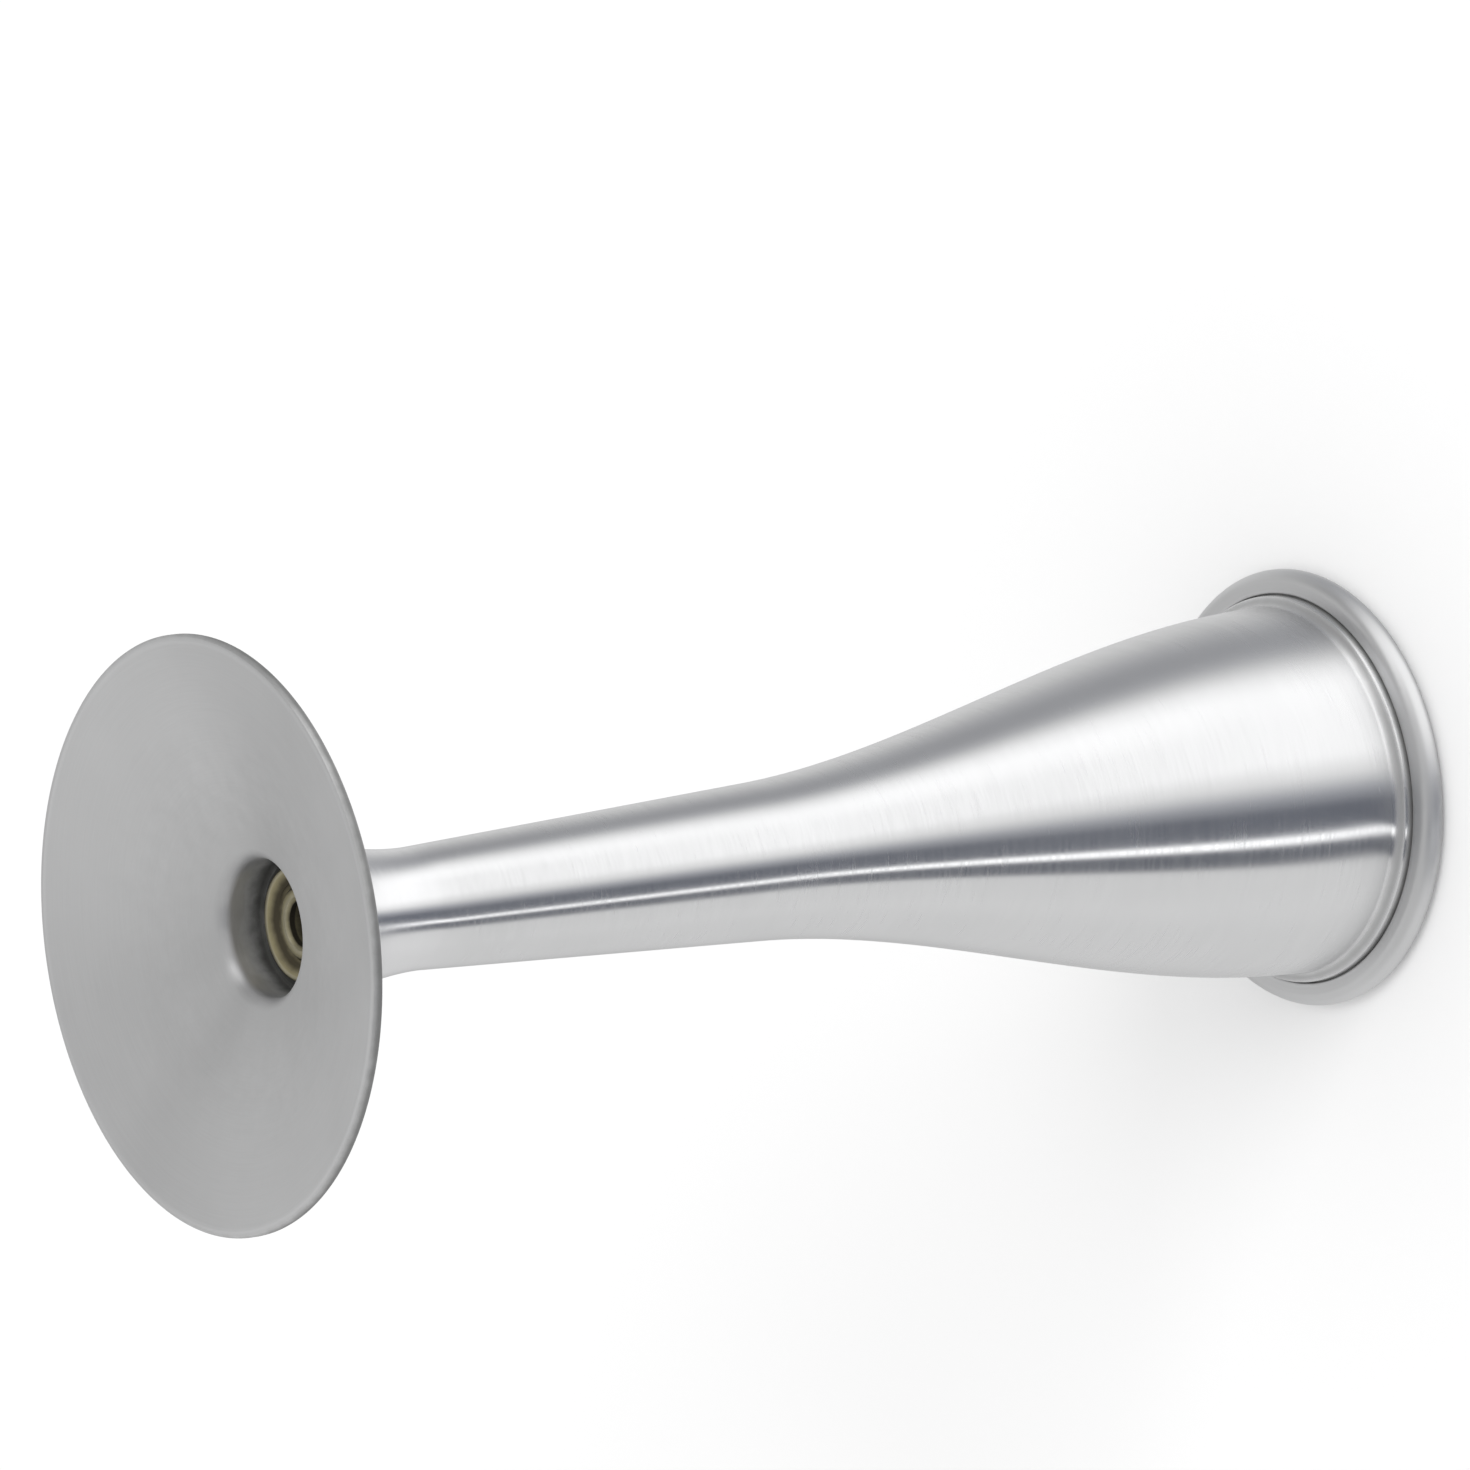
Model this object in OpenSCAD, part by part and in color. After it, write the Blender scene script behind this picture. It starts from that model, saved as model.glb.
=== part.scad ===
// Pinard horn in spun aluminium, with an ear plate that screws on through brass fittings.
// The horn stands on its bell: the origin is the centre of the mouth, +Z runs up to the ear plate.

/* [Overall] */
// Length over all, from the bell's mouth to the rim of the ear plate
length = 144; // [130:1:170]

/* [Horn body] */
// Outside radius of the neck where it is narrowest
neck_r = 6.4; // [6:0.05:7.5]
// Growth of the neck's radius towards the bell, per millimetre
neck_taper = 0.045; // [0.02:0.005:0.06]
// Outside radius of the bell where its swell is complete
bell_r = 19.9; // [17:0.1:24]
// Height above the mouth at which the swell is complete
swell_low = 7.5; // [6:0.5:14]
// Height above the mouth at which the swell leaves the neck
swell_high = 75; // [60:1:90]
// Thickness of the spun wall
horn_wall = 1.2; // [0.9:0.1:1.5]
// How far the mouth's lip stands out past the bell
lip_reach = 1.1; // [0.8:0.1:1.6]

/* [Neck collar] */
// Length of the widened end of the neck
collar_len = 12.4; // [12:0.1:18]
// Radius of the arc along which the neck widens
collar_arc = 33; // [26:1:45]
// Width of the seat that carries the ear plate, from its opening to its edge
seat_land = 1.9; // [1.6:0.1:2.4]

/* [Bell ring] */
// How far the ring stands out past the horn's lip
ring_reach = 2.75; // [2:0.05:4]
// Height of the ring
ring_h = 2.9; // [2.4:0.1:3.6]
// Depth of the step in which the horn's lip sits
ring_step = 0.4; // [0.2:0.1:0.8]
// Radius of the rounded inner edge of the mouth
mouth_round = 2.2; // [1.6:0.1:2.4]

/* [Ear plate] */
// Outside radius of the ear plate
plate_r = 31; // [28:0.5:36]
// Thickness of the spun sheet
plate_wall = 1.1; // [0.9:0.1:1.3]
// Width of the flat turned on the rim
rim_land = 0.7; // [0.6:0.1:1.2]
// Bevel on the outer edge of the rim
rim_bevel = 0.25; // [0.1:0.05:0.35]
// Depth of the dish, from the rim to where its slope meets the well
dish_depth = 6.9; // [6:0.1:9]
// Radius of the rounded throat between dish and well
throat_round = 1.8; // [1.4:0.1:2.4]
// Inside radius of the well
well_r = 7.2; // [7:0.05:8]
// Depth of the well's floor below the rim
well_depth = 11.8; // [11.5:0.1:14]
// Radius of the corner under the well
well_corner = 0.8; // [0.4:0.1:1]

/* [Brass fittings] */
// Outside radius of the nipple's thread
thread_r = 4; // [3.7:0.05:4.2]
// Distance between turns of the thread
thread_pitch = 1; // [0.75:0.05:1.25]
// Depth of the thread's grooves
thread_depth = 0.5; // [0.3:0.05:0.6]
// Radius of the sound bore through the nipple
sound_bore_r = 2.5; // [2.2:0.05:2.7]
// How far the neck is drawn in round the nipple's plug
plug_nip = 0.1; // [0.05:0.05:0.2]
// Length of that plug
plug_len = 9; // [6:0.5:12]
// How far the top of the plug lies below the seat
plug_drop = 9.3; // [9:0.1:11]
// How far the nipple's tip lies below the bush's lip
tip_drop = 0.5; // [0.4:0.1:1.4]
// Bevel on the nipple's tip, inside and outside
tip_bevel = 0.35; // [0.25:0.05:0.6]
// Wall of the bush's barrel, which passes through the well's floor
bush_wall = 0.95; // [0.8:0.05:1.2]
// How far the barrel reaches below the well's floor
barrel_len = 6.2; // [5:0.1:7]
// How far the bush's rolled lip stands out past its barrel
bush_lip = 1.05; // [0.4:0.05:1.3]
// Height of the rolled lip above the well's floor
bush_lip_h = 0.5; // [0.4:0.1:1]
// How far the shoulder under the floor stands out past the barrel
shoulder = 1.2; // [0.8:0.05:1.3]
// Thickness of that shoulder
shoulder_h = 1.2; // [0.8:0.1:1.6]

/* [Clearances] */
// Between the horn's lip and the ring's step, all round
step_gap = 0.15; // [0.1:0.05:0.3]
// Between the nipple's thread and the bush, all round
thread_gap = 0.05; // [0.02:0.01:0.1]
// Between the bush's shoulder and the opening in the seat, all round
shoulder_gap = 0.5; // [0.3:0.05:0.8]

/* [Hidden] */
$fn = 128;

// Segments along the neck and the swell, along the collar, and in a small rounding
body_steps = 40;
collar_steps = 10;
round_steps = 8;

// Heights above the mouth
floor_z = length - well_depth;
seat_z = floor_z - plate_wall;
neck_z = seat_z - collar_len;
lip_z = ring_h - ring_step;
lip_top_z = lip_z + horn_wall;
plug_top_z = seat_z - plug_drop;
plug_low_z = plug_top_z - plug_len;
bush_top_z = floor_z + bush_lip_h;
bush_low_z = seat_z - barrel_len;
tip_z = bush_top_z - tip_drop;

// Radii of the screwed joint, each from the one inside it
bush_bore_r = thread_r + thread_gap;
barrel_r = bush_bore_r + bush_wall;
shoulder_r = barrel_r + shoulder;
seat_bore_r = shoulder_r + shoulder_gap;
seat_r = seat_bore_r + seat_land;
plug_r = neck_r - horn_wall - plug_nip;

// Points of an arc about a centre, from one angle to another
function arc(centre, radius, from, to, steps = round_steps) =
    [for (i = [0:steps])
        let (a = from + (to - from) * i / steps)
        [centre[0] + radius * cos(a), centre[1] + radius * sin(a)]];

// Even steps from one height to another, both ends included
function heights(from, to, steps) = [for (i = [0:steps]) from + (to - from) * i / steps];

// Straight taper of the neck, carried down to the mouth
function taper_r(z) = neck_r + neck_taper * (neck_z - z);

// Share of the bell's swell at a height: 1 at the mouth, 0 at the neck, with no corner between
function swell_share(z) =
    let (u = min(1, max(0, (z - swell_low) / (swell_high - swell_low))))
    1 - u * u * (3 - 2 * u);

// Outside of the neck and the bell
function body_r(z) = taper_r(z) + (bell_r - taper_r(swell_low)) * swell_share(z);

// Outside of the collar, an arc that ends in the straight band of the seat
function collar_r(z) =
    min(seat_r, neck_r + collar_arc - sqrt(collar_arc * collar_arc - (z - neck_z) * (z - neck_z)));

// Inside of the collar, parallel to the outside until it reaches the seat's opening
function collar_bore_r(z) = min(seat_bore_r, collar_r(z) - horn_wall);

mouth_r = body_r(lip_z) - horn_wall;
lip_r = body_r(lip_top_z + lip_reach) + lip_reach;
ring_r = lip_r + ring_reach;

// Spun trumpet with a small lip turned out at the mouth and a widened seat at the neck
module horn_body() {
    lip_centre = [lip_r, lip_top_z + lip_reach];
    outside = concat(
        arc(lip_centre, lip_reach, 270, 180),
        [for (z = heights(lip_top_z + lip_reach, neck_z, body_steps)) if (z > lip_top_z + lip_reach) [body_r(z), z]],
        [for (z = heights(neck_z, seat_z, collar_steps)) if (z > neck_z) [collar_r(z), z]]
    );
    inside = concat(
        [for (z = heights(seat_z, plug_top_z, collar_steps)) [collar_bore_r(z), z]],
        [[plug_r, plug_top_z], [plug_r, plug_low_z]],
        [for (z = heights(plug_low_z, lip_z, body_steps)) [body_r(z) - horn_wall, z]]
    );
    color("silver")
        rotate_extrude()
            polygon(concat([[lip_r, lip_z]], outside, inside));
}

// Turned ring with a half-round edge, in whose step the horn's lip sits
module bell_ring() {
    bead = ring_h / 2;
    step_r = lip_r + step_gap;
    inner_round = min(mouth_round, lip_z);
    color("gainsboro")
        rotate_extrude()
            polygon(concat(
                arc([ring_r - bead, bead], bead, -90, 90, 2 * round_steps),
                [[step_r, ring_h], [step_r, lip_z], [mouth_r, lip_z]],
                arc([mouth_r + inner_round, inner_round], inner_round, 180, 270)
            ));
}

// Hollow brass nipple: a plug held in the neck and a threaded end that stands in the seat
module neck_nipple() {
    groove_low_z = plug_top_z + thread_pitch;
    // Whole turns that leave half a pitch or more of plain land under the tip's bevel
    turns = floor((tip_z - tip_bevel - groove_low_z) / thread_pitch - 0.5);
    grooves = [for (i = [0:turns - 1])
        let (z = groove_low_z + i * thread_pitch)
        each [[thread_r, z], [thread_r - thread_depth, z + thread_pitch / 2]]];
    color("goldenrod")
        rotate_extrude()
            polygon(concat(
                [[sound_bore_r, plug_low_z], [plug_r, plug_low_z], [plug_r, plug_top_z], [thread_r, plug_top_z]],
                grooves,
                [[thread_r, groove_low_z + turns * thread_pitch], [thread_r, tip_z - tip_bevel]],
                [[thread_r - tip_bevel, tip_z], [sound_bore_r + tip_bevel, tip_z]],
                [[sound_bore_r, tip_z - tip_bevel]]
            ));
}

// Brass bush rolled over in the floor of the ear plate's well, screwed onto the nipple
module plate_bush() {
    lip_edge_r = barrel_r + bush_lip;
    color("darkgoldenrod")
        rotate_extrude()
            polygon(concat(
                [[bush_bore_r, bush_low_z], [barrel_r, bush_low_z]],
                [[barrel_r, seat_z - shoulder_h], [shoulder_r, seat_z - shoulder_h], [shoulder_r, seat_z]],
                [[barrel_r, seat_z], [barrel_r, floor_z], [lip_edge_r, floor_z]],
                arc([lip_edge_r - bush_lip_h / 2, bush_top_z - bush_lip_h / 2], bush_lip_h / 2, 0, 90),
                [[barrel_r, bush_top_z], [bush_bore_r, bush_top_z - bush_wall]]
            ));
}

// Spun dish with a deep well, whose floor holds the bush
module ear_plate() {
    rim_r = plate_r - rim_land;
    slope = atan(dish_depth / (rim_r - well_r));
    // The throat's arc touches the well's wall and the slope of the dish
    reach = throat_round * tan((90 - slope) / 2);
    throat = [well_r + throat_round, length - dish_depth - reach];
    // The back of the dish runs parallel to its front
    back_drop = plate_wall / cos(slope);
    edge_low_z = length + rim_land * tan(slope) - back_drop;
    well_back_r = well_r + plate_wall;
    color("lightgray")
        rotate_extrude()
            polygon(concat(
                [[barrel_r, seat_z], [well_back_r - well_corner, seat_z]],
                arc([well_back_r - well_corner, seat_z + well_corner], well_corner, 270, 360),
                arc(throat, throat_round - plate_wall, 180, 90 + slope),
                [[plate_r, edge_low_z], [plate_r, length - rim_bevel], [plate_r - rim_bevel, length]],
                [[rim_r, length]],
                arc(throat, throat_round, 90 + slope, 180),
                [[well_r, floor_z], [barrel_r, floor_z]]
            ));
}

horn_body();
bell_ring();
neck_nipple();
plate_bush();
ear_plate();
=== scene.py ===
"""Looks of a pinard horn in spun aluminium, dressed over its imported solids, in metres."""
from math import atan, cos, degrees, pi, radians, sin, sqrt, tan

import bpy
from mathutils import Matrix, Vector


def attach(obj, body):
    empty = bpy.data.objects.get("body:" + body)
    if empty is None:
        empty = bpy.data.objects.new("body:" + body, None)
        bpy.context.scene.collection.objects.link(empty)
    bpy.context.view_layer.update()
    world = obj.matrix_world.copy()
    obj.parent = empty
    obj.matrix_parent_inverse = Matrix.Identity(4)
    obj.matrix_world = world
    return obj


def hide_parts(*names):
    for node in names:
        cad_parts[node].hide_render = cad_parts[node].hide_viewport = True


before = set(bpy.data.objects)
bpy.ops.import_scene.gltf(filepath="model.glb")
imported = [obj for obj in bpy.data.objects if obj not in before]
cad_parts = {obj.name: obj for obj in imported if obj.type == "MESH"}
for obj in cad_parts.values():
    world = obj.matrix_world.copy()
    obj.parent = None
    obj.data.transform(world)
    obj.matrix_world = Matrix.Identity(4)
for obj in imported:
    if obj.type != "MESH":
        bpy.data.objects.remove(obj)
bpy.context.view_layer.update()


# Horn body: a trumpet of sheet aluminium, spun over a former and brushed in the lathe.
# It turns out at the mouth into a small lip, which sits in the bell ring.
# The neck's end is widened into a flat seat, and the nipple's plug is held just below it.
mm = 0.001
weld = 0.002 * mm
smooth_below = radians(32)
horn_wall = 1.2
neck_r, neck_z = 6.4, 118.7
neck_taper = 0.045
bell_r = 19.9
swell_low, swell_high = 7.5, 75
lip_z, lip_reach = 2.5, 1.1
# Where the rounding between lip and bell starts, in degrees, just past the lip's eased edge
lip_foot_start = 243
seat_z = 131.1
seat_r, seat_bore_r = 8.6, 6.7
seat_edge_z = seat_z - 0.3
collar_arc = 33
plug_r, plug_top_z, plug_low_z = 5.1, 121.8, 112.8


def arc(centre, radius, start, end, steps=12):
    """Points of an arc in an outline, from one angle to another, in degrees."""
    angles = [radians(start + (end - start) * i / steps) for i in range(steps + 1)]
    return [(centre[0] + radius * cos(a), centre[1] + radius * sin(a)) for a in angles]


def heights(low, high, steps):
    """Even steps from one height to another, both ends included."""
    return [low + (high - low) * i / steps for i in range(steps + 1)]


def trumpet_r(z):
    """Outside radius of the tapered neck and the bell's swell at a height."""
    taper = neck_r + neck_taper * (neck_z - z)
    u = min(1, max(0, (z - swell_low) / (swell_high - swell_low)))
    full = bell_r - neck_r - neck_taper * (neck_z - swell_low)
    return taper + full * (1 - u * u * (3 - 2 * u))


def collar_r(z):
    """Outside radius of the widened end of the neck."""
    return min(seat_r, neck_r + collar_arc - sqrt(collar_arc**2 - (z - neck_z) ** 2))


def eased(outline, steps=5, most=0.49):
    """Closes an outline, and rounds each corner that has an edge radius as its third number.

    The rounding takes up less than half of each side, so that two can't cross.
    """
    points = []
    for i, corner in enumerate(outline):
        here = Vector(corner[:2])
        if len(corner) < 3:
            points.append(here)
            continue
        before = Vector(outline[i - 1][:2]) - here
        after = Vector(outline[(i + 1) % len(outline)][:2]) - here
        reach = corner[2] / tan(before.angle(after) / 2)
        start = here + before.normalized() * min(reach, before.length * most)
        end = here + after.normalized() * min(reach, after.length * most)
        for k in range(steps + 1):
            t = k / steps
            points.append(start * (1 - t) ** 2 + here * 2 * t * (1 - t) + end * t**2)
    return points + points[:1]


def drawn(name, points):
    """Draws a line through some points in metres, and leaves its mesh in edit mode."""
    bpy.ops.object.select_all(action="DESELECT")
    bpy.ops.mesh.primitive_plane_add(size=mm, location=(0, 0, 0))
    line = bpy.context.object
    line.name = line.data.name = name
    bpy.ops.object.mode_set(mode="EDIT")
    bpy.ops.mesh.select_all(action="SELECT")
    bpy.ops.mesh.merge(type="CENTER")
    bpy.ops.transform.translate(value=points[0])
    for here, there in zip(points, points[1:]):
        bpy.ops.mesh.extrude_vertices_move(TRANSFORM_OT_translate={"value": there - here})
    bpy.ops.mesh.select_all(action="SELECT")
    return line


def turned(name, outline, steps=240, longest=1.6):
    """Draws an outline of radius and height in millimetres, and turns it about the horn's axis."""
    corners = [Vector((p[0], 0, p[1])) * mm for p in outline]
    points = []
    for here, there in zip(corners, corners[1:]):
        parts = 1 + int((there - here).length / (longest * mm))
        points += [here.lerp(there, i / parts) for i in range(parts)]
    points.append(corners[-1])
    piece = drawn(name, points)
    bpy.ops.mesh.spin(steps=steps, angle=2 * pi, center=(0, 0, 0), axis=(0, 0, 1))
    bpy.ops.mesh.select_all(action="SELECT")
    bpy.ops.mesh.remove_doubles(threshold=weld)
    bpy.ops.mesh.normals_make_consistent(inside=False)
    bpy.ops.object.mode_set(mode="OBJECT")
    bpy.ops.object.shade_smooth_by_angle(angle=smooth_below)
    return piece


swell_foot_z = lip_z + horn_wall + lip_reach
lip_r = trumpet_r(swell_foot_z) + lip_reach
horn_body = turned("horn_trumpet", eased(
    [(lip_r, lip_z, 0.2), (lip_r, lip_z + horn_wall, 0.4)]
    + arc((lip_r, swell_foot_z), lip_reach, lip_foot_start, 180)
    + [(trumpet_r(z), z) for z in heights(swell_foot_z, neck_z, 66)[1:]]
    + [(collar_r(z), z) for z in heights(neck_z, seat_edge_z, 18)[1:]]
    + [(collar_r(seat_z), seat_z, 0.15), (seat_bore_r, seat_z, 0.15)]
    + [(min(seat_bore_r, collar_r(z) - horn_wall), z) for z in heights(seat_edge_z, plug_top_z, 14)]
    + [(plug_r, plug_top_z, 0.1), (plug_r, plug_low_z, 0.1)]
    + [(trumpet_r(z) - horn_wall, z) for z in heights(plug_low_z, lip_z, 50)]
))


def maths(nodes, link):
    """The function that adds a Math node to a tree, fed by numbers and sockets."""
    def worked(kind, *values):
        node = nodes.new("ShaderNodeMath")
        node.operation = kind
        for socket, value in zip(node.inputs, values):
            if isinstance(value, (int, float)):
                socket.default_value = value
            else:
                link(value, socket)
        return node.outputs[0]

    return worked


def node_group(name, inputs, outputs):
    """A node group with the given sockets, each input with its default value."""
    group = bpy.data.node_groups.new(name, "ShaderNodeTree")
    for socket, value in inputs.items():
        given = group.interface.new_socket(socket, in_out="INPUT", socket_type="NodeSocketFloat")
        given.default_value = value
    for socket in outputs:
        group.interface.new_socket(socket, in_out="OUTPUT", socket_type="NodeSocketFloat")
    return group


def from_axis(nodes, link, worked):
    """A point's place, its x, y and z one by one, and its distance from the horn's axis, in metres."""
    place = nodes.new("ShaderNodeTexCoord").outputs["Object"]
    split = nodes.new("ShaderNodeSeparateXYZ")
    link(place, split.inputs[0])
    x, y, z = split.outputs
    squares = worked("ADD", worked("MULTIPLY", x, x), worked("MULTIPLY", y, y))
    return place, (x, y, z), worked("SQRT", squares)


def noise(nodes, link, place, scale, detail):
    """A Noise Texture node read at a place."""
    node = nodes.new("ShaderNodeTexNoise")
    node.inputs["Scale"].default_value = scale
    node.inputs["Detail"].default_value = detail
    link(place, node.inputs["Vector"])
    return node


def brushing():
    """Node group: the rings that abrasive cloth leaves on a turning piece, and clouds of wear."""
    group = node_group(
        "lathe_brushing",
        {"Line Width mm": 0.14, "Arcs Per Turn": 30.0, "Depth": 1.0},
        ("Lines", "Bands", "Clouds", "Height"),
    )
    nodes, link = group.nodes, group.links.new
    given, out = nodes.new("NodeGroupInput"), nodes.new("NodeGroupOutput")
    worked = maths(nodes, link)
    place, (x, y, z), radius = from_axis(nodes, link, worked)
    along = worked("DIVIDE", worked("ADD", radius, z), mm)
    clear_radius = worked("MAXIMUM", radius, 1e-5)

    def rings(width, arcs, detail):
        """Noise drawn out round the axis: lines of a width, each a share of a turn long."""
        reach = worked("DIVIDE", arcs, 2 * pi)
        joined = nodes.new("ShaderNodeCombineXYZ")
        for i, side in enumerate((x, y)):
            link(worked("MULTIPLY", worked("DIVIDE", side, clear_radius), reach), joined.inputs[i])
        link(worked("DIVIDE", along, width), joined.inputs[2])
        node = noise(nodes, link, joined.outputs[0], scale=1, detail=detail)
        node.inputs["Roughness"].default_value = 0.6
        return node.outputs["Fac"]

    # A line and the gap beside it, and coarser bands three times as wide with longer arcs
    width = worked("MULTIPLY", given.outputs["Line Width mm"], 2)
    arcs = given.outputs["Arcs Per Turn"]
    lines = rings(width, arcs, detail=2)
    bands = rings(worked("MULTIPLY", width, 3), worked("MULTIPLY", arcs, 0.4), detail=3)
    cut = worked("ADD", lines, worked("MULTIPLY", bands, 1.5))
    link(lines, out.inputs["Lines"])
    link(bands, out.inputs["Bands"])
    link(noise(nodes, link, place, scale=90, detail=4).outputs["Fac"], out.inputs["Clouds"])
    link(worked("MULTIPLY", cut, given.outputs["Depth"]), out.inputs["Height"])
    return group


lathe_brushing = brushing()


def marking():
    """Node group: how near a point lies to a circle round the horn's axis, with a ragged edge."""
    group = node_group(
        "round_mark",
        {
            "Radius mm": 10.0,
            "Height mm": 0.0,
            "Reach mm": 1.0,
            "Strength": 1.0,
            "Ragged": 0.5,
            "Within mm": 1000.0,
        },
        ("Mark",),
    )
    nodes, link = group.nodes, group.links.new
    given, out = nodes.new("NodeGroupInput").outputs, nodes.new("NodeGroupOutput")
    worked = maths(nodes, link)
    place, sides, distance = from_axis(nodes, link, worked)
    radius, height = worked("DIVIDE", distance, mm), worked("DIVIDE", sides[2], mm)
    aside = worked("SUBTRACT", radius, given["Radius mm"])
    above = worked("SUBTRACT", height, given["Height mm"])
    squares = worked("ADD", worked("MULTIPLY", aside, aside), worked("MULTIPLY", above, above))
    blots = noise(nodes, link, place, scale=500, detail=4).outputs["Fac"]
    shift = worked("MULTIPLY", worked("SUBTRACT", blots, 0.5), given["Ragged"])
    fade = nodes.new("ShaderNodeMapRange")
    fade.interpolation_type = "SMOOTHSTEP"
    fade.inputs["To Min"].default_value, fade.inputs["To Max"].default_value = 1, 0
    share = worked("DIVIDE", worked("SQRT", squares), given["Reach mm"])
    link(worked("ADD", share, shift), fade.inputs["Value"])
    inside = worked("LESS_THAN", radius, given["Within mm"])
    strength = worked("MULTIPLY", fade.outputs["Result"], given["Strength"])
    link(worked("MULTIPLY", strength, inside), out.inputs["Mark"])
    return group


round_mark = marking()


def strongest(nodes, link, worked, marks):
    """The strongest of some round marks.

    Each has its radius, height and reach in millimetres, its strength, and any radius that bounds it.
    """
    found = None
    for values in marks:
        mark = nodes.new("ShaderNodeGroup")
        mark.node_tree = round_mark
        for socket, value in zip(("Radius mm", "Height mm", "Reach mm", "Strength", "Within mm"), values):
            mark.inputs[socket].default_value = value
        here = mark.outputs["Mark"]
        found = here if found is None else worked("MAXIMUM", found, here)
    return found


def lathe_turned(name, colour, roughness, streaked, line_width, arcs, depth, stretch, dirt_and_shade_marks, wear_and_highlight_marks,
                 dirt_and_shade_colour=(0.05, 0.05, 0.046), wear_and_highlight_colour=(0.84, 0.84, 0.85)):
    """Metal turned and brushed in the lathe, dark under dirt and painted shade, and bright under wear and
    painted highlights.

    Its lines have a width in millimetres and a number of arcs per turn. They vary the roughness by
    the value of streaked, and their depth sets their relief and tint.
    """
    metal = bpy.data.materials.new(name)
    metal.use_nodes = True
    nodes, link = metal.node_tree.nodes, metal.node_tree.links.new
    worked = maths(nodes, link)
    shader = nodes["Principled BSDF"]
    # The fine turned lines draw each reflection out along the outline
    shader.inputs["Anisotropic"].default_value = stretch
    shader.inputs["Anisotropic Rotation"].default_value = 0.25
    round_axis = nodes.new("ShaderNodeTangent")
    round_axis.direction_type, round_axis.axis = "RADIAL", "Z"
    link(round_axis.outputs[0], shader.inputs["Tangent"])

    def mapped(value, low, high, start=0.2, end=0.8):
        node = nodes.new("ShaderNodeMapRange")
        node.inputs["From Min"].default_value, node.inputs["From Max"].default_value = start, end
        node.inputs["To Min"].default_value, node.inputs["To Max"].default_value = low, high
        link(value, node.inputs["Value"])
        return node.outputs["Result"]

    def painted(under, over, share):
        node = nodes.new("ShaderNodeMix")
        node.data_type = "RGBA"
        link(share, node.inputs["Factor"])
        link(under, node.inputs["A"])
        node.inputs["B"].default_value = (*over, 1)
        return node.outputs["Result"]

    rings = nodes.new("ShaderNodeGroup")
    rings.node_tree = lathe_brushing
    for socket, value in (("Line Width mm", line_width), ("Arcs Per Turn", arcs), ("Depth", depth)):
        rings.inputs[socket].default_value = value
    lines, bands, clouds = (rings.outputs[socket] for socket in ("Lines", "Bands", "Clouds"))
    dirt_and_shade_share = strongest(nodes, link, worked, dirt_and_shade_marks)
    wear_and_highlight_share = worked("MULTIPLY", strongest(nodes, link, worked, wear_and_highlight_marks), mapped(lines, 0.5, 1))

    # Colour: lines and clouds in the bare metal, then wear and painted highlights, then dirt and painted
    # shade on top
    tint = 0.05 * depth
    shade = nodes.new("ShaderNodeVectorMath")
    shade.operation = "SCALE"
    shade.inputs[0].default_value = colour
    varied = worked("MULTIPLY", mapped(lines, 1 - tint, 1 + tint), mapped(clouds, 0.96, 1.04))
    link(varied, shade.inputs["Scale"])
    rubbed_and_lit = painted(shade.outputs[0], wear_and_highlight_colour, wear_and_highlight_share)
    link(painted(rubbed_and_lit, dirt_and_shade_colour, dirt_and_shade_share), shader.inputs["Base Color"])
    link(mapped(dirt_and_shade_share, 1, 0.35, start=0, end=1), shader.inputs["Metallic"])

    # Roughness: streaks along the lines, duller under the dirt and shade marks and glossier under the wear
    # and highlight marks
    fainter = 0.3 * streaked
    streaks = worked("ADD", mapped(lines, -streaked, streaked), mapped(bands, -fainter, fainter))
    satin = worked("ADD", mapped(clouds, roughness - 0.02, roughness + 0.02), streaks)
    dulled = worked("ADD", satin, mapped(dirt_and_shade_share, 0, 0.3, start=0, end=1))
    glossier_under_wear_and_highlights = mapped(wear_and_highlight_share, 0, -0.08, start=0, end=1)
    link(worked("ADD", dulled, glossier_under_wear_and_highlights), shader.inputs["Roughness"])
    bump = nodes.new("ShaderNodeBump")
    bump.inputs["Strength"].default_value = 0.5
    bump.inputs["Distance"].default_value = 0.004 * mm
    link(rings.outputs["Height"], bump.inputs["Height"])
    link(bump.outputs["Normal"], shader.inputs["Normal"])
    return metal


horn_body.data.materials.append(lathe_turned(
    "horn_aluminium", (0.75, 0.752, 0.757), roughness=0.24, streaked=0.048, line_width=0.1, arcs=18,
    depth=0.15, stretch=1.0,
    dirt_and_shade_marks=(
        # The first two marks darken the lip where it sits in the ring's step: painted shade in the seam.
        (lip_r, lip_z + 0.4, 0.6, 0.7),
        (lip_r - 0.6, lip_z + 1.4, 0.9, 0.35),
        # This mark is painted shade in the hollow of the neck, over the nipple's plug.
        (plug_r, plug_top_z, 1.2, 0.8),
    ),
    wear_and_highlight_marks=(
        (lip_r - 0.2, lip_z + horn_wall, 0.4, 0.25),
        (seat_r, seat_z, 0.7, 0.7),
        # This mark makes the neck's end lighter and glossier: partly rubbed wear, partly a painted
        # highlight.
        (neck_r + 0.6, neck_z + 5, 10, 0.7),
    ),
))
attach(horn_body, "horn")
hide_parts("horn_body")


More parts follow.
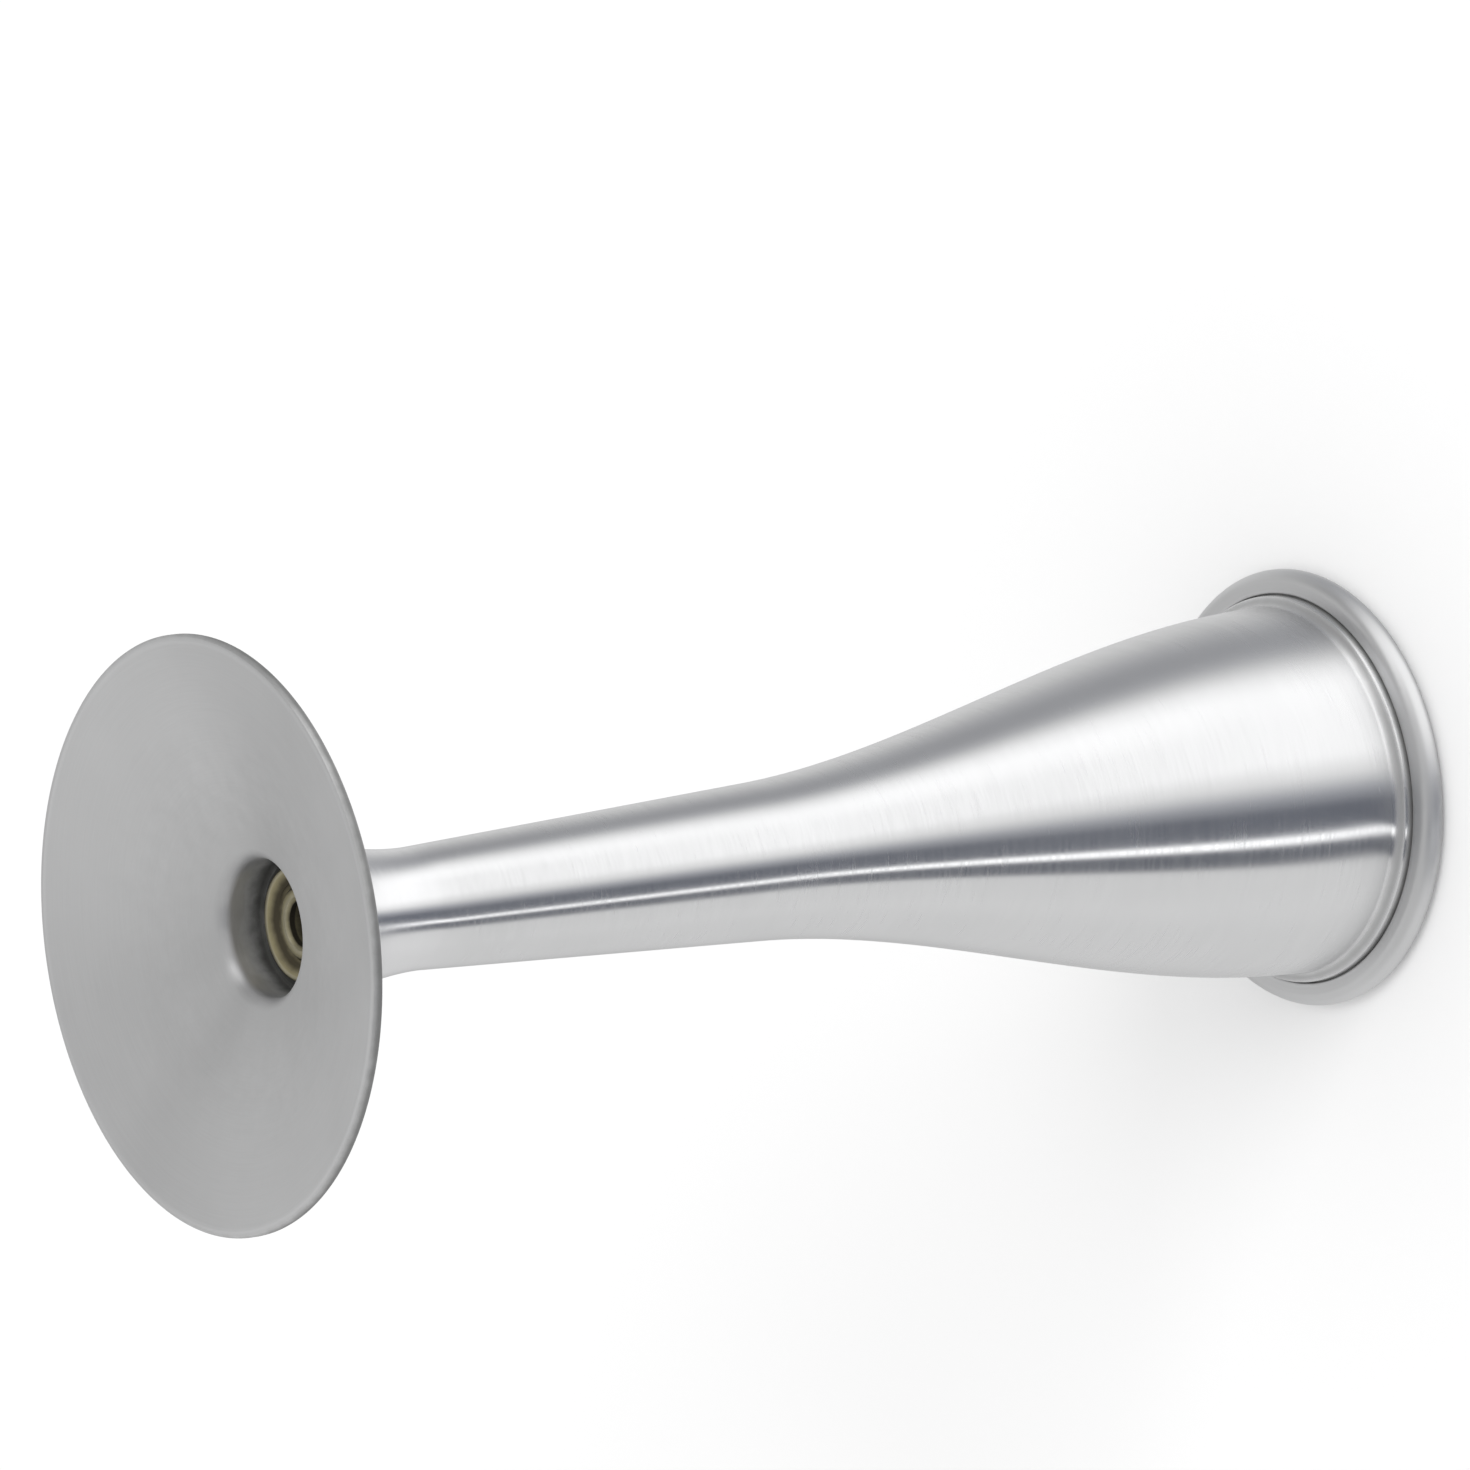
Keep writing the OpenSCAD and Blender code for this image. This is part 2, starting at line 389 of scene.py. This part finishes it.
# Bell ring: a heavier ring with a half-round edge, turned from bar and pushed onto the mouth.
# The horn's lip sits in the step in its top face, and its foot rests on the belly.
ring_h, ring_reach, step_gap = 2.9, 2.75, 0.15
ring_r = lip_r + ring_reach
step_r = lip_r + step_gap
mouth_r = trumpet_r(lip_z) - horn_wall
mouth_round = 2.2
bead = ring_h / 2
bell_ring = turned("bell_mouth_ring", eased(
    arc((ring_r - bead, bead), bead, -90, 90, 32)
    + [(step_r, ring_h, 0.2), (step_r, lip_z), (mouth_r, lip_z, 0.08)]
    + arc((mouth_r + mouth_round, mouth_round), mouth_round, 180, 270, 16)
))
bell_ring.data.materials.append(lathe_turned(
    "ring_aluminium", (0.68, 0.682, 0.686), roughness=0.4, streaked=0.04, line_width=0.1, arcs=14,
    depth=0.6, stretch=0.2,
    dirt_and_shade_marks=(
        # These marks are painted shade: in the seam at the step, in the corner under the lip, and at the
        # foot by the floor.
        (step_r, ring_h - 0.3, 0.5, 0.7),
        (mouth_r, lip_z, 0.8, 0.5),
        (ring_r, 0.5, 1.0, 0.35),
    ),
    wear_and_highlight_marks=(
        # This mark is a painted highlight along the step's edge.
        (step_r + 0.15, ring_h, 0.35, 0.5),
        (mouth_r + 1.2, 0.3, 1.2, 0.5),
    ),
))
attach(bell_ring, "horn")
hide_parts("bell_ring")


# Neck nipple: a hollow brass fitting whose plug is held in the drawn-in neck.
# Its end has a right-handed screw thread, cut in the lathe, and stands in the seat.
# The sound passes through its bore.
thread_r, sound_bore_r = 4, 2.5
tip_z, tip_bevel = 132.2, 0.35
pitch, thread_depth = 1, 0.5
# Where the groove's narrow root begins and ends, and its far edge, as shares of the pitch
root_start, root_end, far_edge = 0.46, 0.54, 0.98
neck_nipple = turned("neck_nipple_fitting", eased([
    (sound_bore_r, plug_low_z, 0.1),
    (plug_r, plug_low_z, 0.15),
    (plug_r, plug_top_z, 0.15),
    (thread_r, plug_top_z),
    (thread_r, tip_z - tip_bevel),
    (thread_r - tip_bevel, tip_z, 0.06),
    (sound_bore_r + tip_bevel, tip_z, 0.06),
    (sound_bore_r, tip_z - tip_bevel),
]), 160)


def cut_thread(piece, crest_r, root_r, low_z, high_z):
    """Cuts a right-handed groove from one height to another, as a pointed threading tool does."""
    # The tool reaches past the crest by a fifth of the groove's depth
    clear_r = crest_r + (crest_r - root_r) / 5
    section = [
        (clear_r, low_z),
        (root_r, low_z + root_start * pitch),
        (root_r, low_z + root_end * pitch),
        (clear_r, low_z + far_edge * pitch),
        (clear_r, low_z),
    ]
    tool = drawn("threading_tool", [Vector((r, 0, z)) * mm for r, z in section])
    bpy.ops.mesh.remove_doubles(threshold=weld)
    bpy.ops.object.mode_set(mode="OBJECT")
    turn = tool.modifiers.new("thread", "SCREW")
    turn.axis, turn.angle, turn.screw_offset = "Z", 2 * pi, pitch * mm
    turn.iterations = round((high_z - low_z) / pitch)
    turn.steps = turn.render_steps = 60
    bpy.ops.object.modifier_apply(modifier=turn.name)
    bpy.ops.object.mode_set(mode="EDIT")
    bpy.ops.mesh.select_all(action="SELECT")
    bpy.ops.mesh.remove_doubles(threshold=weld)
    bpy.ops.mesh.select_all(action="DESELECT")
    bpy.ops.mesh.select_non_manifold()
    bpy.ops.mesh.fill_holes(sides=0)
    bpy.ops.mesh.select_all(action="SELECT")
    bpy.ops.mesh.normals_make_consistent(inside=False)
    bpy.ops.object.mode_set(mode="OBJECT")
    bpy.ops.object.select_all(action="DESELECT")
    bpy.context.view_layer.objects.active = piece
    piece.select_set(True)
    cut = piece.modifiers.new("thread", "BOOLEAN")
    cut.operation, cut.solver, cut.object = "DIFFERENCE", "EXACT", tool
    bpy.ops.object.modifier_apply(modifier=cut.name)
    bpy.ops.object.shade_smooth_by_angle(angle=smooth_below)
    bpy.data.objects.remove(tool)


cut_thread(
    neck_nipple, crest_r=thread_r, root_r=thread_r - thread_depth,
    low_z=plug_top_z + pitch, high_z=tip_z + 0.5,
)
neck_nipple.data.materials.append(lathe_turned(
    "nipple_brass", (0.5, 0.45, 0.28), roughness=0.36, streaked=0.05, line_width=0.08, arcs=16,
    depth=1.2, stretch=0.2,
    dirt_and_shade_marks=(
        # These marks are painted shade in the bore and on the thread by the tip.
        (sound_bore_r, 120, 8, 0.97),
        (sound_bore_r, 129, 4.8, 1.15),
        (thread_r, 127, 4.6, 0.7),
        (sound_bore_r, tip_z - 0.7, 0.85, 1.2),
        (thread_r, tip_z, 1.1, 1.1),
    ),
    # The mark on the tip's rim is a painted highlight.
    wear_and_highlight_marks=((2.95, tip_z, 0.45, 1.0),),
    # The dark colour paints the shade, and the light colour the highlight.
    dirt_and_shade_colour=(0.036, 0.031, 0.02), wear_and_highlight_colour=(0.62, 0.58, 0.43),
))
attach(neck_nipple, "horn")
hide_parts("neck_nipple")


# Plate bush: a brass bush with a screw thread inside, rolled over in the floor of the ear plate's well.
# Its shoulder bears on the floor from below, and it screws onto the nipple.
floor_z = 132.2
barrel_r, bush_bore_r, bush_edge_r = 5.0, 4.05, 6.05
shoulder_r, shoulder_z = 6.2, seat_z - 1.2
bush_top_z, bush_low_z = 132.7, 124.9
roll_r, bush_thread_depth = 0.25, 0.4
plate_bush = turned("plate_bush_fitting", eased([
    (bush_bore_r, bush_low_z, 0.1),
    (barrel_r, bush_low_z, 0.15),
    (barrel_r, shoulder_z),
    (shoulder_r, shoulder_z, 0.15),
    (shoulder_r, seat_z, 0.08),
    (barrel_r, seat_z),
    (barrel_r, floor_z),
    (bush_edge_r, floor_z),
    *arc((bush_edge_r - roll_r, bush_top_z - roll_r), roll_r, 0, 90, 8),
    (bush_edge_r - 0.5, bush_top_z - 0.06, 0.2),
    (barrel_r, bush_top_z - 0.3, 0.3),
    (bush_bore_r, bush_top_z - 0.95),
]), 160)
cut_thread(
    plate_bush, crest_r=bush_bore_r, root_r=bush_bore_r + bush_thread_depth,
    low_z=bush_low_z - 0.5, high_z=bush_top_z - 0.1,
)
plate_bush.data.materials.append(lathe_turned(
    "bush_brass", (0.46, 0.41, 0.25), roughness=0.38, streaked=0.05, line_width=0.08, arcs=16,
    depth=1.2, stretch=0.2,
    dirt_and_shade_marks=(
        # These marks are painted shade in the lead-in bevel and the bore, and a painted shadow round the
        # lip on the well's floor.
        (4.5, 132.1, 1.5, 1.05),
        (bush_bore_r, 128, 5.5, 0.75),
        (bush_edge_r + 0.1, floor_z, 0.4, 1.0),
    ),
    wear_and_highlight_marks=(
        # The first mark is a painted highlight on the rolled lip's crest.
        (5.7, bush_top_z, 0.35, 1.0),
        (shoulder_r, shoulder_z, 0.4, 0.5),
        (barrel_r, bush_low_z, 0.4, 0.6),
    ),
    # The dark colour paints the shade and shadow, and the light colour the highlight.
    dirt_and_shade_colour=(0.055, 0.045, 0.024), wear_and_highlight_colour=(0.6, 0.56, 0.42),
))
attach(plate_bush, "ear_piece")
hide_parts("plate_bush")


# Ear plate: a disc of sheet aluminium spun into a dish with a deep well in its middle.
# Its rim is turned flat and brushed in circles, and the bush is fixed in the well's floor.
length = 144
plate_r, plate_wall = 31, 1.1
rim_land, rim_bevel = 0.7, 0.25
dish_depth, throat_round = 6.9, 1.8
well_r, well_corner = 7.2, 0.8
rim_r = plate_r - rim_land
slope = atan(dish_depth / (rim_r - well_r))
# The throat's arc touches the well's wall and the slope of the dish
throat = (well_r + throat_round, length - dish_depth - throat_round * tan((pi / 2 - slope) / 2))
throat_end = 90 + degrees(slope)
edge_low_z = length + rim_land * tan(slope) - plate_wall / cos(slope)
well_back_r = well_r + plate_wall
ear_plate = turned("ear_dish_plate", eased([
    (barrel_r, seat_z),
    (well_back_r - well_corner, seat_z),
    *arc((well_back_r - well_corner, seat_z + well_corner), well_corner, 270, 360),
    *arc(throat, throat_round - plate_wall, 180, throat_end),
    (plate_r, edge_low_z, 0.25),
    (plate_r, length - rim_bevel, 0.15),
    (plate_r - rim_bevel, length, 0.12),
    (rim_r, length, 0.3),
    *arc(throat, throat_round, throat_end, 180, 20),
    (well_r, floor_z, 0.3),
    (barrel_r, floor_z),
]))
# The marks of painted shade in the well stop short of its outside
inside_well = well_r + 0.6
ear_plate.data.materials.append(lathe_turned(
    "plate_aluminium", (0.68, 0.682, 0.684), roughness=0.38, streaked=0.04, line_width=0.14, arcs=20,
    depth=0.6, stretch=0.8,
    dirt_and_shade_marks=(
        # The first three marks are painted shade: deep in the well, round its floor, and on the dish round
        # the well.
        (well_r, floor_z, 3.6, 0.98, inside_well),
        (6.3, floor_z, 1.3, 1.2, inside_well),
        (well_r, 137, 17, 0.18),
        # The rim's edge is darker: partly a duller cut edge, partly painted shade.
        (plate_r + 0.1, length - 0.65, 1.0, 0.7),
    ),
    wear_and_highlight_marks=(
        (rim_r, length, 0.5, 0.3),
        # The upper well wall is lighter: partly rubbed by the ear, partly a painted highlight.
        (well_r, 135.9, 1.6, 1.0),
    ),
))
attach(ear_plate, "ear_piece")
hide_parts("ear_plate")


# Floor: a wide sheet of white paper under the horn, which takes its shadow.
# It stays out of the metal's reflections, where the tent takes its place.
bpy.ops.object.select_all(action="DESELECT")
bpy.ops.mesh.primitive_plane_add(size=16, location=(0, 0, 0))
floor = bpy.context.object
floor.name = "paper_floor"
floor.visible_glossy = False
paper = bpy.data.materials.new("white_paper")
paper.use_nodes = True
paper_inputs = paper.node_tree.nodes["Principled BSDF"].inputs
paper_inputs["Base Color"].default_value = (0.9, 0.9, 0.9, 1)
paper_inputs["Roughness"].default_value = 1
paper_inputs["Specular IOR Level"].default_value = 0
floor.data.materials.append(paper)


# Light tent: panels round the horn, light and dark by turns, as a photographer sets them for bright metal.
# They show only in the metal, and leave the floor's light and shadow to the sky and the lamp.
tent_profile = [(1, -400), (200, -399), (200, 330), (1, 400)]
tent = turned("light_tent", tent_profile, steps=96, longest=1000)
tent.visible_camera = tent.visible_diffuse = tent.visible_shadow = tent.visible_transmission = False
tent_panels = bpy.data.materials.new("tent_panels")
tent_panels.use_nodes = True
nodes, link = tent_panels.node_tree.nodes, tent_panels.node_tree.links.new
nodes.remove(nodes["Principled BSDF"])
brightest = 2.2
glow = nodes.new("ShaderNodeEmission")
glow.inputs["Strength"].default_value = brightest
link(glow.outputs[0], nodes["Material Output"].inputs["Surface"])
place, split = nodes.new("ShaderNodeTexCoord"), nodes.new("ShaderNodeSeparateXYZ")
link(place.outputs["Object"], split.inputs[0])
angle = maths(nodes, link)("ARCTAN2", split.outputs["Y"], split.outputs["X"])
share = nodes.new("ShaderNodeMapRange")
share.inputs["From Min"].default_value, share.inputs["From Max"].default_value = -pi, pi
link(angle, share.inputs["Value"])


def panel_row(*panels):
    """A row of panels round the horn.

    Each has the angle at which it begins, in degrees from +X, how light it is, and how blue.
    """
    ramp = nodes.new("ShaderNodeValToRGB")
    elements = ramp.color_ramp.elements
    while len(elements) < len(panels):
        elements.new(0.5)
    for element, (begin, level, blue) in zip(elements, panels):
        element.position = (begin + 180) / 360
        level = level / brightest
        element.color = (level * (1 - blue), level * (1 - blue / 2), level * (1 + blue), 1)
    link(share.outputs["Result"], ramp.inputs["Fac"])
    return ramp.outputs["Color"]


def higher_up(lower_row, upper_row, low_z, high_z):
    """The light of one row of panels, passing into that of the row over it."""
    rise, panel = nodes.new("ShaderNodeMapRange"), nodes.new("ShaderNodeMix")
    rise.interpolation_type = "SMOOTHSTEP"
    rise.inputs["From Min"].default_value, rise.inputs["From Max"].default_value = low_z, high_z
    link(split.outputs["Z"], rise.inputs["Value"])
    panel.data_type = "RGBA"
    link(rise.outputs["Result"], panel.inputs["Factor"])
    link(lower_row, panel.inputs["A"])
    link(upper_row, panel.inputs["B"])
    return panel.outputs["Result"]


beside = panel_row(
    (-180, 0.8, 0), (-165, 0.84, 0), (-150, 0.82, 0), (-137.5, 0.82, 0), (-135, 0.78, 0),
    (-133, 0.15, 0.12), (-122.4, 0.15, 0.12), (-121, 2.0, 0), (-118, 2.0, 0),
    (-116.6, 0.18, 0.12), (-102.5, 0.18, 0.12), (-94.5, 0.45, 0.05), (-84.5, 0.97, 0),
    (-73, 1.3, 0), (-30, 1.36, 0), (-20, 1.2, 0), (-12, 0.86, 0), (-4, 0.54, 0.02),
    (4, 0.42, 0.03), (14, 0.4, 0.03), (26, 0.5, 0.02), (40, 0.68, 0), (60, 0.84, 0),
    (80, 0.55, 0), (100, 0.42, 0), (118, 0.62, 0), (135, 0.76, 0), (180, 0.8, 0),
)
above = panel_row(
    (-180, 0.66, 0), (-139, 0.66, 0), (-133, 0.4, 0.03), (-98, 0.4, 0.03), (-90, 0.7, 0),
    (-60, 0.72, 0), (-50, 0.6, 0), (-43, 1.05, 0), (-34, 1.4, 0), (-15, 1.4, 0),
    (-7, 0.8, 0), (2, 0.36, 0), (30, 0.36, 0), (48, 0.62, 0), (99, 0.64, 0),
    (108, 0.7, 0), (117, 0.78, 0), (126, 0.76, 0), (142, 0.68, 0), (180, 0.66, 0),
)
overhead = panel_row(
    (-180, 0.64, 0), (30, 0.64, 0), (57, 0.64, 0), (72, 0.48, 0), (84, 0.56, 0),
    (100, 0.78, 0), (108, 0.84, 0), (122, 0.8, 0), (142, 0.68, 0), (180, 0.64, 0),
)
upright = higher_up(beside, above, low_z=0.04, high_z=0.1)
link(higher_up(upright, overhead, low_z=0.31, high_z=0.35), glow.inputs["Color"])
tent.data.materials.append(tent_panels)


# Sky and lamp: an even white sky, and one large soft lamp over the camera's shoulder.
# The lamp gives the horn its shadow, and doesn't show in the metal.
sky = bpy.data.worlds.new("white_sky")
bpy.context.scene.world = sky
sky.use_nodes = True
sky.node_tree.nodes["Background"].inputs["Color"].default_value = (1, 1, 1, 1)
sky.node_tree.nodes["Background"].inputs["Strength"].default_value = 1.0
bpy.ops.object.light_add(type="AREA", location=(0.9, -1.2, 1.6))
lamp = bpy.context.object
lamp.name = "soft_lamp"
lamp.data.shape, lamp.data.size = "DISK", 1.2
lamp.data.energy = 12
lamp.visible_glossy = False
horn_middle = Vector((0, 0, 0.07))
lamp.rotation_euler = (horn_middle - lamp.location).to_track_quat("-Z", "Y").to_euler()


# Camera: a long lens that looks down on the ear plate's front.
# It is rolled so that the standing horn lies across the picture.
bpy.ops.object.camera_add(location=(0.01349, -1.0313, 0.8036))
camera = bpy.context.object
camera.name = "camera"
camera.data.lens, camera.data.sensor_width = 293.9, 36
camera.data.clip_end = 20
away = Vector((0, 0.8168, -0.5770)).normalized()
picture_top = Vector((0.9919, -0.0738, -0.1045))
right = away.cross(picture_top).normalized()
up = right.cross(away)
camera.rotation_mode = "QUATERNION"
camera.rotation_quaternion = Matrix((right, up, -away)).transposed().to_quaternion()
bpy.context.scene.camera = camera
bpy.context.scene.view_settings.view_transform = "Standard"
